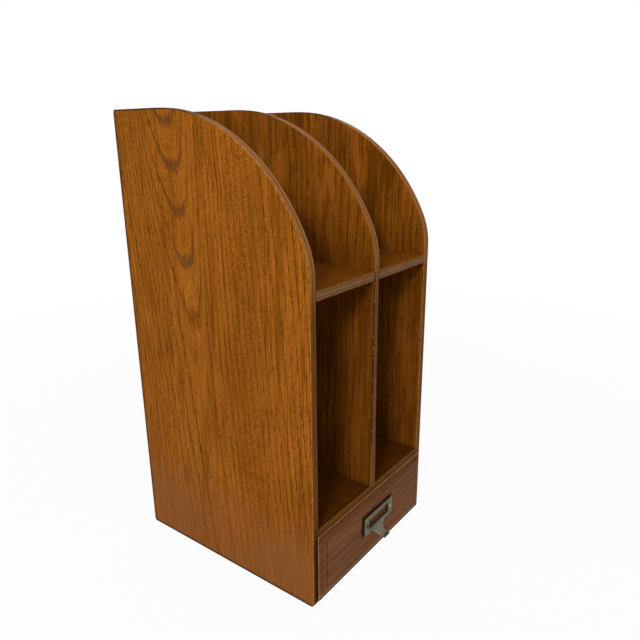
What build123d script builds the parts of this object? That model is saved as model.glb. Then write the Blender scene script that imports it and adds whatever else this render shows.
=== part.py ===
"""Plywood envelope sorter for a desk, with one drawer.

Two sides and a divider of the same arched outline stand over a drawer compartment.
A shelf crosses each of the two bays. The drawer has a lipped and fielded front with a
stamped brass card frame, and the frame's lower edge runs out into the finger pull.

Frame: millimetres, +X right, +Y back, +Z up. The origin is on the floor, in the middle of
the footprint of the sides, and the front of the sorter faces -Y.
"""

import os

from build123d import *

# ---------------------------------------------------------------- driving dimensions
# Overall
height = 485.0
width = 218.0
depth = 250.0

# Boards
side_thickness = 9.0
divider_thickness = 9.0
board_thickness = 9.5  # shelves, deck and bottom board
back_thickness = 4.0
shelf_top = 330.0
deck_top = 88.0
bottom_setback = 3.0  # front edge of the bottom board behind the front edges of the sides

# Outline of the sides and the divider
top_flat = 68.0  # straight top, from the back edge to the start of the arc
arc_drop = 130.0  # from the top down to where the arc would meet the front edge
arc_blend = 80.0  # radius that eases the arc into the front edge
corner_radius = 3.0
foot_radius = 5.0  # front foot corner of a side
arris = 0.6  # rounding along every outer edge of a board

# Carcase joints
housing_depth = 2.5  # stopped housings for the boards in the sides and the divider
housing_stop = 12.0  # distance from the front edge to the end of a housing
divider_housing = 3.0  # depth of the divider's housing in the deck
rabbet_width = 5.0  # rabbet for the back panel, measured across the side
shelf_end_gap = 0.4  # at each end of a shelf, in front of its housing

# Drawer
lip_overlap = 3.6  # lip of the drawer front over the edges round the opening
lip_gap = 0.3
lip_thickness = 2.1
lip_corner = 1.4
bevel_width = 10.5
bevel_rise = 1.9
field_step = 0.5
field_corner = 0.3
front_stock = 15.0  # drawer front, from the field to its back face
front_top_gap = 0.9
front_body = 4.3  # part of the front, behind the lip, that is as wide as the opening allows
drawer_side_gap = 0.8
drawer_foot_gap = 0.3
drawer_side_thickness = 6.5
drawer_side_height = 66.0
drawer_rear_gap = 3.0
drawer_bottom_thickness = 2.8
groove_clearance = 0.1
groove_depth = 2.5
groove_height = 5.0  # from the lower edge of a drawer side up to its groove
drawer_back_thickness = 6.5
drawer_back_drop = 4.0  # top of the drawer back below the tops of the drawer sides
drawer_back_inset = 5.0
drawer_back_housing = 2.0

# Card frame and finger pull
frame_width = 57.5
frame_height = 21.2
frame_offset = 2.5  # centre of the frame, right of the middle of the drawer
frame_middle = 49.2  # height of the middle of the frame above the floor
frame_standoff = 2.3  # outer face of the frame above the field of the drawer front
frame_corner = 0.8
sheet = 0.9
window_width = 39.5
window_height = 10.3
pull_root = 25.0
pull_tip = 9.5
pull_reach = 10.5
pull_drop = 9.0
curl_radius = 1.3

# Fasteners
boss_radius = 2.4
dome_pin_radius = 0.8
dome_radius = 2.1
dome_height = 1.8
dome_pin_length = 11.0
pin_sides = 8  # the small nails are drawn with flats
pin_radius = 0.7
pin_head_radius = 1.1
pin_head_height = 0.8
pin_set = 0.5  # pin heads below the surface that they are driven into
pin_clearance = 0.05
side_pin_length = 24.0
divider_pin_length = 22.0
back_pin_length = 15.0
drawer_pin_length = 13.0
bottom_pin_length = 11.0
side_pin_front = 28.7  # from the front edge of a side to its pin near the front
side_pin_back = 19.0  # from the back edge of a side to its pins near the back
back_pin_margin = 40.0  # from the top or the foot of the back panel to its end pins
back_pin_rows = 5
divider_pin_spacing = 120.0
drawer_pin_margin = 15.0  # from the edges of a drawer side to its pins
bottom_pin_spacing = 60.0

# ---------------------------------------------------------------- worked-out places
front = -depth / 2
back = depth / 2
outer = width / 2
inner = outer - side_thickness
panel_front = back - back_thickness
half_divider = divider_thickness / 2
arc_start = back - top_flat
arc_foot = height - arc_drop
housing_front = front + housing_stop

opening_foot = board_thickness
opening_top = deck_top - board_thickness
board_tops = (opening_foot, deck_top, shelf_top)

lip_back = front - lip_gap
lip_face = lip_back - lip_thickness
bevel_top = lip_face - bevel_rise
field_face = bevel_top - field_step
front_back_face = field_face + front_stock
lip_half = inner + lip_overlap
lip_foot = opening_foot - lip_overlap
lip_top = opening_top + lip_overlap

drawer_outer = inner - drawer_side_gap
drawer_inner = drawer_outer - drawer_side_thickness
drawer_foot = opening_foot + drawer_foot_gap
drawer_top = drawer_foot + drawer_side_height
drawer_side_front = lip_back + front_body
drawer_rear = panel_front - drawer_rear_gap
drawer_back_rear = drawer_rear - drawer_back_inset
drawer_back_middle = drawer_back_rear - drawer_back_thickness / 2
groove_foot = drawer_foot + groove_height
groove_top = groove_foot + drawer_bottom_thickness + 2 * groove_clearance
drawer_bottom_foot = groove_foot + groove_clearance

frame_face = field_face - frame_standoff
frame_foot = frame_middle - frame_height / 2
frame_pin_offset = (frame_width + window_width) / 4
tongue_length = (pull_reach + pull_drop) / 2**0.5

MIN_MIN = (Align.MIN, Align.MIN)
MIN_MAX = (Align.MIN, Align.MAX)


# ---------------------------------------------------------------- shared shapes
def facing_front(y):
    """Upright plane at y that faces the front: local x is +X, local y is +Z."""
    return Plane.XZ.offset(-y)


def upright_outline(plane, foot, back_edge, eased_corners=()):
    """Foot, straight front edge, arc, flat top and back edge of a side or the divider."""
    with BuildSketch(plane) as outline:
        with BuildLine():
            arc = TangentArc((arc_start, height), (front, arc_foot), tangent=(-1, 0))
            Polyline(arc @ 0, (back_edge, height), (back_edge, foot), (front, foot), arc @ 1)
        make_face()
        fillet(outline.vertices().sort_by_distance((front, arc_foot))[0], radius=arc_blend)
        for corner, radius in eased_corners:
            fillet(outline.vertices().sort_by_distance(corner)[0], radius=radius)
    return outline.sketch


def board_plan(plane, left, right, front_edge, end_gap=0.0):
    """Plan of a board between two faces, with tongues that run into stopped housings."""
    with BuildSketch(plane) as plan:
        with Locations((left + end_gap, front_edge)):
            Rectangle(right - left - 2 * end_gap, panel_front - front_edge, align=MIN_MIN)
        with Locations((left - housing_depth, housing_front)):
            Rectangle(right - left + 2 * housing_depth, panel_front - housing_front, align=MIN_MIN)
    return plan.sketch


def housings(plane, tops):
    """Outlines, on the face of an upright, of the stopped housings for boards with these tops."""
    with BuildSketch(plane) as outlines:
        for top in tops:
            with Locations((housing_front, top)):
                Rectangle(back - housing_front, board_thickness, align=MIN_MAX)
    return outlines.sketch


def pin_sections(places, radius):
    """Small sections of a pin, one on each plane."""
    with BuildSketch(*places) as sections:
        RegularPolygon(radius, pin_sides)
    return sections.sketch


def pins(places, length, clearance=0.0, mode=Mode.ADD):
    """Headed pins driven in at planes that face out of the wood, with heads below its surface."""
    heads = [place.offset(-pin_set) for place in places]
    for radius, reach in ((pin_radius, length), (pin_head_radius, pin_head_height)):
        extrude(pin_sections(heads, radius + clearance), amount=-reach - clearance, mode=mode)


def bores(places, length):
    """Holes for the same pins, open to the surface above each head."""
    pins(places, length, pin_clearance, Mode.SUBTRACT)
    extrude(pin_sections(places, pin_head_radius + pin_clearance), amount=-pin_set, mode=Mode.SUBTRACT)


def frame_pin_bores():
    """Holes for the domed pins through the card frame and into the drawer front."""
    sections = pin_sections(frame_pin_places, dome_pin_radius + pin_clearance)
    extrude(sections, amount=-dome_pin_length - pin_clearance, mode=Mode.SUBTRACT)


# ---------------------------------------------------------------- places of the pins
def side_pin_places(side):
    """Pins through a side: one near the front for the bottom board, two near the back above it."""
    near_back = back - side_pin_back
    return [
        Plane(origin=(side * outer, y, top - board_thickness / 2), z_dir=(side, 0, 0))
        for top, y in zip(board_tops, (front + side_pin_front, near_back, near_back))
    ]


def drawer_pin_places(side):
    """Pins through a drawer side into the front and into the drawer back."""
    tongue_middle = (drawer_side_front + front_back_face) / 2
    return [
        Plane(origin=(side * drawer_outer, y, z), z_dir=(side, 0, 0))
        for y in (tongue_middle, drawer_back_middle)
        for z in (groove_top + drawer_pin_margin, drawer_top - drawer_pin_margin)
    ]


back_pin_pitch = (height - 2 * back_pin_margin) / (back_pin_rows - 1)
back_pin_line = inner + (housing_depth + rabbet_width) / 2  # clear of the housings
back_pins_upright = [
    Plane(origin=(side * back_pin_line, back, back_pin_margin + row * back_pin_pitch), z_dir=(0, 1, 0))
    for side in (-1, 1)
    for row in range(back_pin_rows)
]
back_pins_board = [
    Plane(origin=(side * (inner + half_divider) / 2, back, top - board_thickness / 2), z_dir=(0, 1, 0))
    for side in (-1, 1)
    for top in board_tops
]
back_pin_places = back_pins_upright + back_pins_board
frame_pin_places = [
    Plane(origin=(frame_offset + side * frame_pin_offset, frame_face, frame_middle), z_dir=(0, -1, 0))
    for side in (-1, 1)
]
divider_pin_places = [
    Plane(origin=(0, side * divider_pin_spacing / 2, opening_top), z_dir=(0, 0, -1)) for side in (-1, 1)
]
bottom_pin_places = [
    Plane(origin=(step * bottom_pin_spacing, drawer_back_middle, drawer_bottom_foot), z_dir=(0, 0, -1))
    for step in (-1, 0, 1)
]

# ---------------------------------------------------------------- carcase boards
with BuildPart() as left_side:
    corners = (((front, 0), foot_radius), ((back, 0), corner_radius), ((back, height), corner_radius))
    extrude(upright_outline(Plane.YZ.offset(-outer), 0, back, corners), amount=side_thickness)
    chamfer(left_side.faces().filter_by(Axis.X).edges(), length=arris)
    housing_floor = Plane.YZ.offset(-inner - housing_depth)
    extrude(housings(housing_floor, board_tops), amount=housing_depth, mode=Mode.SUBTRACT)
    with BuildSketch(Plane.XY):
        with Locations((-inner - rabbet_width, panel_front)):
            Rectangle(rabbet_width, back_thickness, align=MIN_MIN)
    extrude(amount=height, mode=Mode.SUBTRACT)
    bores(side_pin_places(-1), side_pin_length)
    bores(back_pins_upright, back_pin_length)

with BuildPart() as right_side:
    mirror(left_side.part, about=Plane.YZ)

with BuildPart() as divider:
    divider_foot = deck_top - divider_housing
    outline = upright_outline(Plane.YZ.offset(-half_divider), divider_foot, panel_front)
    extrude(outline, amount=divider_thickness)
    arched_edge = divider.faces().filter_by(Axis.X).edges() - divider.faces().sort_by(Axis.Z)[0].edges()
    chamfer(arched_edge - divider.faces().sort_by(Axis.Y)[-1].edges(), length=arris)
    with BuildSketch(Plane.YZ.offset(-half_divider)):
        with Locations((front, divider_foot)):
            Rectangle(housing_stop, divider_housing, align=MIN_MIN)
    extrude(amount=divider_thickness, mode=Mode.SUBTRACT)
    for face in (-half_divider, half_divider - housing_depth):
        extrude(housings(Plane.YZ.offset(face), (shelf_top,)), amount=housing_depth, mode=Mode.SUBTRACT)
    bores(divider_pin_places, divider_pin_length)

with BuildPart() as back_panel:
    panel_half = inner + rabbet_width
    with BuildSketch(facing_front(back)):
        with Locations((-panel_half, 0)):
            Rectangle(2 * panel_half, height, align=MIN_MIN)
    extrude(amount=back_thickness)
    rear_edges = back_panel.faces().sort_by(Axis.Y)[-1].edges().filter_by(Axis.X)
    fillet(rear_edges, radius=min(corner_radius, 0.8 * back_thickness))
    bores(back_pin_places, back_pin_length)

with BuildPart() as left_shelf:
    plan = board_plan(Plane.XY.offset(shelf_top), -inner, -half_divider, front, shelf_end_gap)
    extrude(plan, amount=-board_thickness)
    fillet(left_shelf.faces().sort_by(Axis.Y)[0].edges().filter_by(Axis.X), radius=arris)
    bores(side_pin_places(-1), side_pin_length)
    bores(back_pins_board, back_pin_length)

with BuildPart() as right_shelf:
    mirror(left_shelf.part, about=Plane.YZ)

with BuildPart() as deck:
    extrude(board_plan(Plane.XY.offset(deck_top), -inner, inner, front), amount=-board_thickness)
    fillet(deck.faces().sort_by(Axis.Y)[0].edges().filter_by(Axis.X), radius=arris)
    with BuildSketch(Plane.XY.offset(deck_top)):
        with Locations((-half_divider, housing_front)):
            Rectangle(divider_thickness, panel_front - housing_front, align=MIN_MIN)
    extrude(amount=-divider_housing, mode=Mode.SUBTRACT)
    for side in (-1, 1):
        bores(side_pin_places(side), side_pin_length)
    bores(back_pins_board, back_pin_length)
    bores(divider_pin_places, divider_pin_length)

with BuildPart() as bottom_board:
    plan = board_plan(Plane.XY.offset(opening_foot), -inner, inner, front + bottom_setback)
    extrude(plan, amount=-board_thickness)
    fillet(bottom_board.faces().sort_by(Axis.Y)[0].edges().filter_by(Axis.X), radius=arris)
    for side in (-1, 1):
        bores(side_pin_places(side), side_pin_length)
    bores(back_pins_board, back_pin_length)

# ---------------------------------------------------------------- drawer box
with BuildPart() as drawer_front:
    lip_middle = (lip_foot + lip_top) / 2
    lip_height = lip_top - lip_foot
    # Lip, bevel and field, each standing on the one before
    with BuildSketch(facing_front(lip_back)):
        with Locations((0, lip_middle)):
            RectangleRounded(2 * lip_half, lip_height, lip_corner)
    extrude(amount=lip_thickness)
    chamfer(drawer_front.faces().sort_by(Axis.Y)[0].edges(), length=arris)
    for y, inset, corner in ((lip_face, arris, lip_corner - arris), (bevel_top, bevel_width, field_corner)):
        with BuildSketch(facing_front(y)):
            with Locations((0, lip_middle)):
                RectangleRounded(2 * (lip_half - inset), lip_height - 2 * inset, corner)
    loft()
    extrude(drawer_front.faces().sort_by(Axis.Y)[0], amount=field_step)
    # Part that fills the opening, and the tongue between the drawer sides
    body_foot = drawer_foot
    body_top = opening_top - front_top_gap
    for half_width, rear in ((drawer_outer, drawer_side_front), (drawer_inner, front_back_face)):
        with BuildSketch(facing_front(rear)):
            with Locations((-half_width, body_foot)):
                Rectangle(2 * half_width, body_top - body_foot, align=MIN_MIN)
        extrude(amount=rear - lip_back)
    # Groove for the drawer bottom
    with BuildSketch(facing_front(front_back_face)):
        with Locations((-drawer_inner, groove_foot)):
            Rectangle(2 * drawer_inner, groove_top - groove_foot, align=MIN_MIN)
    extrude(amount=groove_depth, mode=Mode.SUBTRACT)
    # Holes for the pins of the card frame, and for those of the drawer sides
    frame_pin_bores()
    for side in (-1, 1):
        bores(drawer_pin_places(side), drawer_pin_length)

with BuildPart() as drawer_left_side:
    with BuildSketch(Plane.YZ.offset(-drawer_outer)):
        with Locations((drawer_side_front, drawer_foot)):
            Rectangle(drawer_rear - drawer_side_front, drawer_side_height, align=MIN_MIN)
    extrude(amount=drawer_side_thickness)
    fillet(drawer_left_side.faces().sort_by(Axis.Z)[-1].edges().filter_by(Axis.Y), radius=arris)
    with BuildSketch(Plane.YZ.offset(-drawer_inner)):
        with Locations((drawer_side_front, groove_foot)):
            Rectangle(drawer_rear - drawer_side_front, groove_top - groove_foot, align=MIN_MIN)
    extrude(amount=-groove_depth, mode=Mode.SUBTRACT)
    with BuildSketch(Plane.YZ.offset(-drawer_inner)):
        with Locations((drawer_back_rear - drawer_back_thickness, groove_top)):
            Rectangle(drawer_back_thickness, drawer_top - groove_top, align=MIN_MIN)
    extrude(amount=-drawer_back_housing, mode=Mode.SUBTRACT)
    bores(drawer_pin_places(-1), drawer_pin_length)

with BuildPart() as drawer_right_side:
    mirror(drawer_left_side.part, about=Plane.YZ)

with BuildPart() as drawer_back:
    back_half = drawer_inner + drawer_back_housing
    back_height = drawer_top - drawer_back_drop - groove_top
    with BuildSketch(facing_front(drawer_back_rear)):
        with Locations((-back_half, groove_top)):
            Rectangle(2 * back_half, back_height, align=MIN_MIN)
    extrude(amount=drawer_back_thickness)
    fillet(drawer_back.faces().sort_by(Axis.Z)[-1].edges().filter_by(Axis.X), radius=arris)
    for side in (-1, 1):
        bores(drawer_pin_places(side), drawer_pin_length)
    bores(bottom_pin_places, bottom_pin_length)

with BuildPart() as drawer_bottom:
    bottom_half = drawer_inner + groove_depth - groove_clearance
    bottom_front = front_back_face - groove_depth + groove_clearance
    with BuildSketch(Plane.XY.offset(drawer_bottom_foot)):
        with Locations((-bottom_half, bottom_front)):
            Rectangle(2 * bottom_half, drawer_back_rear - bottom_front, align=MIN_MIN)
    extrude(amount=drawer_bottom_thickness)
    bores(bottom_pin_places, bottom_pin_length)

# ---------------------------------------------------------------- card frame and finger pull
with BuildPart() as pull_tongue:
    # Curved strip: down from the foot of the frame, then forward to the curl
    with BuildLine(Plane.YZ.offset(frame_offset)) as centre_line:
        hang = Line((frame_face + sheet / 2, frame_foot + sheet), (frame_face + sheet / 2, frame_foot))
        TangentArc(hang @ 1, (frame_face - pull_reach, frame_foot - pull_drop), tangent=hang % 1)
    with BuildSketch(Plane(origin=centre_line.line @ 0, x_dir=(1, 0, 0), z_dir=centre_line.line % 0)):
        Rectangle(pull_root, sheet)
    sweep(path=centre_line.line)
    # Curl rolled under the free edge
    curl_centre = centre_line.line @ 1 - Vector(0, 0, curl_radius - sheet / 2)
    with Locations(Plane(origin=curl_centre, z_dir=(1, 0, 0))):
        Cylinder(curl_radius, pull_root)
    # Flare, cut square to the slope of the tongue: wide at the root, narrow at the curl
    with BuildSketch(Plane(origin=(frame_offset, frame_face, frame_foot), x_dir=(1, 0, 0), z_dir=(0, -1, 1))):
        with BuildLine():
            flare = TangentArc((pull_tip / 2, -tongue_length), (pull_root / 2, 0), tangent=(0, 1))
            Polyline((0, -2 * tongue_length), (pull_tip / 2, -2 * tongue_length), flare @ 0)
            Polyline(flare @ 1, (pull_root / 2, tongue_length), (0, tongue_length))
            mirror(about=Plane.YZ)
        make_face()
    extrude(amount=tongue_length, both=True, mode=Mode.INTERSECT)

with BuildPart() as label_pull:
    # Pressed tray: the face, and the rim turned back at the ends and along the foot
    with BuildSketch(facing_front(field_face)):
        with Locations((frame_offset, frame_middle)):
            RectangleRounded(frame_width, frame_height, frame_corner)
    extrude(amount=frame_standoff)
    with BuildSketch(facing_front(field_face)):
        with Locations((frame_offset, frame_foot + sheet)):
            Rectangle(frame_width - 2 * sheet, frame_height, align=(Align.CENTER, Align.MIN))
    extrude(amount=frame_standoff - sheet, mode=Mode.SUBTRACT)
    # Bosses that rest on the wood round the pins
    with Locations(frame_pin_places):
        Cylinder(boss_radius, frame_standoff, align=(Align.CENTER, Align.CENTER, Align.MAX))
    with BuildSketch(facing_front(field_face)):
        with Locations((frame_offset, frame_middle)):
            Rectangle(window_width, window_height)
    extrude(amount=frame_standoff, mode=Mode.SUBTRACT)
    frame_pin_bores()
    add(pull_tongue.part)

# ---------------------------------------------------------------- pins
with BuildPart() as dome:
    with BuildSketch(Plane.XZ):
        with BuildLine():
            crown = TangentArc((0, dome_height), (dome_radius, 0), tangent=(1, 0))
            Polyline(crown @ 1, (0, 0), crown @ 0)
        make_face()
    revolve(axis=Axis.Z)

with BuildPart() as pull_pins:
    extrude(pin_sections(frame_pin_places, dome_pin_radius), amount=-dome_pin_length)
    with Locations(frame_pin_places):
        add(dome.part)

with BuildPart() as left_side_pins:
    pins(side_pin_places(-1), side_pin_length)

with BuildPart() as right_side_pins:
    pins(side_pin_places(1), side_pin_length)

with BuildPart() as divider_pins:
    pins(divider_pin_places, divider_pin_length)

with BuildPart() as back_pins:
    pins(back_pin_places, back_pin_length)

with BuildPart() as drawer_side_pins:
    for side in (-1, 1):
        pins(drawer_pin_places(side), drawer_pin_length)

with BuildPart() as drawer_bottom_pins:
    pins(bottom_pin_places, bottom_pin_length)

# ---------------------------------------------------------------- export
pieces = {
    "left_side": left_side,
    "right_side": right_side,
    "divider": divider,
    "back_panel": back_panel,
    "left_shelf": left_shelf,
    "right_shelf": right_shelf,
    "deck": deck,
    "bottom_board": bottom_board,
    "left_side_pins": left_side_pins,
    "right_side_pins": right_side_pins,
    "divider_pins": divider_pins,
    "back_pins": back_pins,
    "drawer_front": drawer_front,
    "drawer_left_side": drawer_left_side,
    "drawer_right_side": drawer_right_side,
    "drawer_back": drawer_back,
    "drawer_bottom": drawer_bottom,
    "drawer_side_pins": drawer_side_pins,
    "drawer_bottom_pins": drawer_bottom_pins,
    "label_pull": label_pull,
    "pull_pins": pull_pins,
}

os.makedirs("parts", exist_ok=True)
for name, piece in pieces.items():
    piece.part.label = name
    export_step(piece.part, f"parts/{name}.step")
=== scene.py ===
"""Looks of the plywood envelope sorter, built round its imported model.

Places are in metres in the model's own frame: +X right, +Y back, +Z up, front at -Y.
Inside a material they are in millimetres, taken from the piece itself, so the grain of
the drawer moves with the drawer.
"""

import logging
import math
from dataclasses import dataclass, field
from enum import Enum
from typing import Mapping, Sequence

import bpy
from mathutils import Matrix, Vector


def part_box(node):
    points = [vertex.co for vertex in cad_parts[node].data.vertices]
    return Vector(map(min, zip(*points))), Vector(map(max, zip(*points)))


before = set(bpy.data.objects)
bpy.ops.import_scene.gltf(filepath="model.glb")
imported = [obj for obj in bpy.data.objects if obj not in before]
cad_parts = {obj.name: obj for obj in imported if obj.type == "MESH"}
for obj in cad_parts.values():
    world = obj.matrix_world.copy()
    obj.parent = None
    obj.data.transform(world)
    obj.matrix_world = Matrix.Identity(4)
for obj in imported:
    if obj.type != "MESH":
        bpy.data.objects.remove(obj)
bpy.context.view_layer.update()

Colour = tuple[float, float, float]
Step = tuple[float, float]  # where a smooth step leaves 0, and where it reaches 1
Share = tuple[float, float]  # what a mask adds where it is 1, and the share where it is 0
MM_PER_M = 1000.0
NOISE_MEAN = 0.5
log = logging.getLogger("sorter")


# ---------------------------------------------------------------- node trees as expressions
class Value:
    """One output socket of a material, used in plain arithmetic."""

    def __init__(self, recipe: "Recipe", socket: bpy.types.NodeSocket) -> None:
        """Keep the socket and the recipe that it belongs to."""
        self.recipe = recipe
        self.socket = socket

    def math(self, operation: str, *terms: "Value | float") -> "Value":
        """Add a Math node.

        Args:
            operation: the node's operation.
            terms: its inputs in order.

        Returns:
            The node's result.
        """
        return self.recipe.add("ShaderNodeMath", {"operation": operation}, dict(enumerate(terms)))

    def __add__(self, other: "Value | float") -> "Value":
        """Sum."""
        return self.math("ADD", self, other)

    def __radd__(self, other: float) -> "Value":
        """Sum with a number on the left."""
        return self.math("ADD", other, self)

    def __sub__(self, other: "Value | float") -> "Value":
        """Difference."""
        return self.math("SUBTRACT", self, other)

    def __rsub__(self, other: float) -> "Value":
        """Difference with a number on the left."""
        return self.math("SUBTRACT", other, self)

    def __mul__(self, other: "Value | float") -> "Value":
        """Product."""
        return self.math("MULTIPLY", self, other)

    def __rmul__(self, other: float) -> "Value":
        """Product with a number on the left."""
        return self.math("MULTIPLY", other, self)

    def __truediv__(self, other: "Value | float") -> "Value":
        """Quotient."""
        return self.math("DIVIDE", self, other)

    def __rtruediv__(self, other: float) -> "Value":
        """Quotient with a number on the left."""
        return self.math("DIVIDE", other, self)

    def __pow__(self, other: float) -> "Value":
        """Power."""
        return self.math("POWER", self, other)

    def __abs__(self) -> "Value":
        """Size without its sign."""
        return self.math("ABSOLUTE", self)

    def fraction(self) -> "Value":
        """Part after the decimal point."""
        return self.math("FRACT", self)

    def sine(self) -> "Value":
        """Sine of an angle in radians."""
        return self.math("SINE", self)

    def most(self, other: "Value | float") -> "Value":
        """The larger of the two."""
        return self.math("MAXIMUM", self, other)

    def least(self, other: "Value | float") -> "Value":
        """The smaller of the two."""
        return self.math("MINIMUM", self, other)

    def rise(self, low: float, high: float) -> "Value":
        """Smooth step.

        Args:
            low: where the step leaves 0.
            high: where it reaches 1; below low for a step that falls.

        Returns:
            The step, from 0 to 1.
        """
        start, end = min(low, high), max(low, high)
        limits = {"From Min": start, "From Max": end}
        limits |= {"To Min": 0.0, "To Max": 1.0} if low < high else {"To Min": 1.0, "To Max": 0.0}
        smooth = {"interpolation_type": "SMOOTHSTEP"}
        return self.recipe.add("ShaderNodeMapRange", smooth, {"Value": self, **limits})

    def share(self, gain: float, base: float) -> "Value":
        """The mask times a gain, over a base."""
        return self * gain + base

    def other(self, output: str) -> "Value":
        """Another output of the same node."""
        return Value(self.recipe, self.socket.node.outputs[output])


Input = Value | float | Sequence[float]


class Recipe:
    """Node tree of one material or world, written down as a list of steps."""

    def __init__(self, owner: bpy.types.Material | bpy.types.World) -> None:
        """Empty the owner's node tree."""
        self.owner = owner
        owner.use_nodes = True
        self.tree = owner.node_tree
        self.tree.nodes.clear()

    @classmethod
    def named(cls, name: str) -> "Recipe":
        """Start a new material."""
        return cls(bpy.data.materials.new(name))

    def add(
        self,
        kind: str,
        settings: Mapping[str, object] | None = None,
        inputs: Mapping[str | int, Input] | None = None,
        output: str | int = 0,
    ) -> Value | None:
        """Add any node.

        Args:
            kind: the node's type.
            settings: its own settings, set first.
            inputs: numbers, colours or links for its sockets.
            output: the socket to go on with.

        Returns:
            That output, or nothing for a node that has none.
        """
        node = self.tree.nodes.new(kind)
        for name, setting in (settings or {}).items():
            setattr(node, name, setting)
        for name, entry in (inputs or {}).items():
            if isinstance(entry, Value):
                self.tree.links.new(entry.socket, node.inputs[name])
            elif isinstance(entry, (tuple, list)) and node.inputs[name].type == "RGBA":
                node.inputs[name].default_value = (*entry[:3], 1.0)
            else:
                node.inputs[name].default_value = entry
        return Value(self, node.outputs[output]) if node.outputs else None

    def place(self) -> tuple[Value, Value, Value]:
        """Position on the piece in millimetres, as x, y and z."""
        metres = self.add("ShaderNodeTexCoord", output="Object")
        scale = {"operation": "SCALE"}
        millimetres = self.add("ShaderNodeVectorMath", scale, {0: metres, "Scale": MM_PER_M})
        split = self.add("ShaderNodeSeparateXYZ", inputs={0: millimetres})
        return split, split.other("Y"), split.other("Z")

    def facing(self) -> tuple[Value, Value, Value]:
        """Direction that the flat face under the paint looks in, as x, y and z."""
        normal = self.add("ShaderNodeNewGeometry", output="True Normal")
        split = self.add("ShaderNodeSeparateXYZ", inputs={0: normal})
        return split, split.other("Y"), split.other("Z")

    def noise(
        self, across: Input, along: Input, deep: Input = 0.0, detail: float = 2.0, rough: float = 0.5
    ) -> Value:
        """Cloudy noise over coordinates that are already scaled.

        Args:
            across: first coordinate.
            along: second coordinate.
            deep: third coordinate.
            detail: number of finer layers.
            rough: strength of the finer layers.

        Returns:
            The noise, from 0 to 1.
        """
        where = self.add("ShaderNodeCombineXYZ", inputs={0: across, 1: along, 2: deep})
        inputs = {"Vector": where, "Scale": 1.0, "Detail": detail, "Roughness": rough}
        return self.add("ShaderNodeTexNoise", {"noise_dimensions": "3D"}, inputs)

    def mix(self, share: Input, first: Input, second: Input) -> Value:
        """Blend two colours; share 0 gives the first."""
        settings = {"data_type": "RGBA", "blend_type": "MIX", "clamp_factor": True}
        return self.add("ShaderNodeMix", settings, {0: share, 6: first, 7: second}, output=2)

    def bump(self, height: Value, depth: float) -> Value:
        """Normal of a surface with this relief.

        Args:
            height: relief from 0 to 1.
            depth: metres between 0 and 1.

        Returns:
            The normal.
        """
        inputs = {"Strength": 1.0, "Distance": depth, "Height": height}
        return self.add("ShaderNodeBump", inputs=inputs)

    def finish(self, surface: Value) -> bpy.types.Material:
        """Send a shader to the output and hand over the material."""
        self.add("ShaderNodeOutputMaterial", inputs={"Surface": surface})
        return self.owner

    def surface(self, **inputs: Input) -> bpy.types.Material:
        """Finish with the general surface shader; words in a socket's name are joined by _."""
        named = {name.replace("_", " "): entry for name, entry in inputs.items()}
        named = {name.replace("Ior", "IOR"): entry for name, entry in named.items()}
        return self.finish(self.add("ShaderNodeBsdfPrincipled", inputs=named))


# ---------------------------------------------------------------- wood
class Axis(Enum):
    """Direction in the model's frame."""

    X = 0
    Y = 1
    Z = 2


class Figure(Enum):
    """How the face veneer was cut from the log."""

    STRAIGHT = "straight"
    CATHEDRAL = "cathedral"


@dataclass(frozen=True)
class Grain:
    """Noise drawn out along the grain; its rates are per millimetre."""

    across: float
    along: float
    shift: float = 0.0  # added to the piece's seed, so that the fields differ
    detail: float = 2.0
    rough: float = 0.5

    def over(self, recipe: Recipe, u: Value, v: Value, seed: float = 0.0) -> Value:
        """Build the field.

        Args:
            recipe: the material's tree.
            u: place across the grain.
            v: place along the grain.
            seed: the piece's seed.

        Returns:
            The noise, from 0 to 1.
        """
        deep = seed + self.shift
        return recipe.noise(u * self.across, v * self.along, deep, self.detail, self.rough)


@dataclass(frozen=True)
class Speckle:
    """Noise that is the same in every direction; its rate is per millimetre."""

    rate: float
    detail: float
    rough: float = 0.5

    def over(self, recipe: Recipe, place: Sequence[Value], seed: float | None = None) -> Value:
        """Build the field.

        Args:
            recipe: the material's tree.
            place: the three coordinates.
            seed: the piece's seed, if it has one.

        Returns:
            The noise, from 0 to 1.
        """
        first, second, third = (part * self.rate for part in place)
        deep = third if seed is None else third + seed
        return recipe.noise(first, second, deep, self.detail, self.rough)


@dataclass(frozen=True)
class Stain:
    """Colours of stained oak in linear light, with those of the painted shade, the painted highlight and
    the painted reflection.
    """

    bright: Colour = (0.435, 0.137, 0.0140)
    body: Colour = (0.310, 0.093, 0.0052)
    ring: Colour = (0.126, 0.038, 0.0020)
    pore: Colour = (0.060, 0.018, 0.0010)
    smudge: Colour = (0.108, 0.042, 0.014)
    # Reddish stain near the foot, with a painted reflection of the pale floor over it
    red_stain_and_reflection: Colour = (0.230, 0.084, 0.023)
    # Painted shade over the inner faces and level boards; also the darkening towards the deck's front
    inside: Colour = (0.040, 0.0085, 0.0007)
    rubbed: Colour = (0.430, 0.175, 0.036)
    # Dark line of painted shade over gathered stain along the back, top and foot; also flaked veneer and
    # the stained foot of the edge
    dark_stain_and_shade: Colour = (0.030, 0.011, 0.004)
    brown_ply: Colour = (0.190, 0.068, 0.008)
    tan_ply: Colour = (0.270, 0.135, 0.058)
    brown_seam: Colour = (0.085, 0.030, 0.006)
    tan_seam: Colour = (0.115, 0.045, 0.015)
    # Lighter ply on the arc: a painted highlight where the cut edge faces up
    lit_arc_ply: Colour = (0.345, 0.152, 0.050)
    lit_arc_seam: Colour = (0.150, 0.062, 0.019)


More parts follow.
